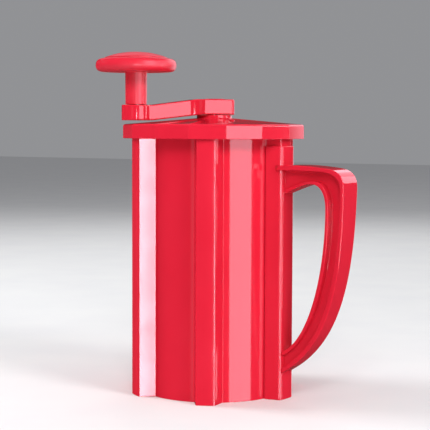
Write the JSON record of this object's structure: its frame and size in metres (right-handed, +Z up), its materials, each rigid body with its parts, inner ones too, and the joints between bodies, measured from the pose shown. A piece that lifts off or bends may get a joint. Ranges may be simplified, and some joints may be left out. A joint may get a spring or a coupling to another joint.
{
  "type": "crank sausage stuffer",
  "caption": "Hand-cranked sausage stuffer: fluted upright barrel with a D handle, a faceted screw lid, a crank with a mushroom knob, and a lead screw that drives a piston.",
  "frame": {"origin": "on the barrel's axis, at the level of the table it stands on, in the middle of the outlet's mouth", "axes": "+Z up along the barrel and the lead screw, +X from the axis towards the handle"},
  "size_m": [0.1964, 0.1575, 0.2687],
  "materials": {
    "red_plastic": "high-gloss injection-moulded red",
    "seal_rubber": "matte food-grade silicone",
    "bush_plastic": "satin acetal",
    "steel": "turned stainless",
    "brass": "turned"
  },
  "bodies": {
    "body": {"barrel": "red_plastic", "handle_saddle": "red_plastic", "handle": "red_plastic", "handle_screws": "steel", "outlet_gasket": "seal_rubber", "outlet_nut": "red_plastic"},
    "lid": {"lid": "red_plastic", "lid_seal": "seal_rubber", "lid_bush": "bush_plastic"},
    "crank": {"crank_arm": "red_plastic", "lead_screw": "steel", "thrust_washer": "brass", "hub_washer": "steel", "hub_screw": "steel", "hub_cap": "red_plastic", "end_washer": "steel", "end_screw": "steel", "knob_pin": "steel", "knob_clip": "steel"},
    "knob": {"knob": "red_plastic", "knob_cap": "red_plastic", "knob_washer": "bush_plastic"},
    "piston": {"piston": "red_plastic", "piston_seal": "seal_rubber", "clamp_plate": "red_plastic", "piston_nut": "bush_plastic", "piston_screws": "steel"}
  },
  "joints": [
    {"name": "lid_lift", "type": "slide", "parent": "body", "child": "lid", "axis": [0, 0, 1], "range_m": [0, 0.19]},
    {"name": "crank_turn", "type": "hinge", "parent": "lid", "child": "crank", "pos_m": [0, 0, 0.22], "axis": [0, 0, -1], "range_deg": [0, 5040]},
    {"name": "piston_travel", "type": "slide", "parent": "lid", "child": "piston", "axis": [0, 0, -1], "range_m": [0, 0.1401]},
    {"name": "knob_spin", "type": "hinge", "parent": "crank", "child": "knob", "pos_m": [-0.03745, -0.05349, 0.24], "axis": [0, 0, 1], "continuous": true}
  ],
  "couplings": [
    {"joint": "piston_travel", "follows": "crank_turn", "m_per_rad": 0.0015915}
  ]
}
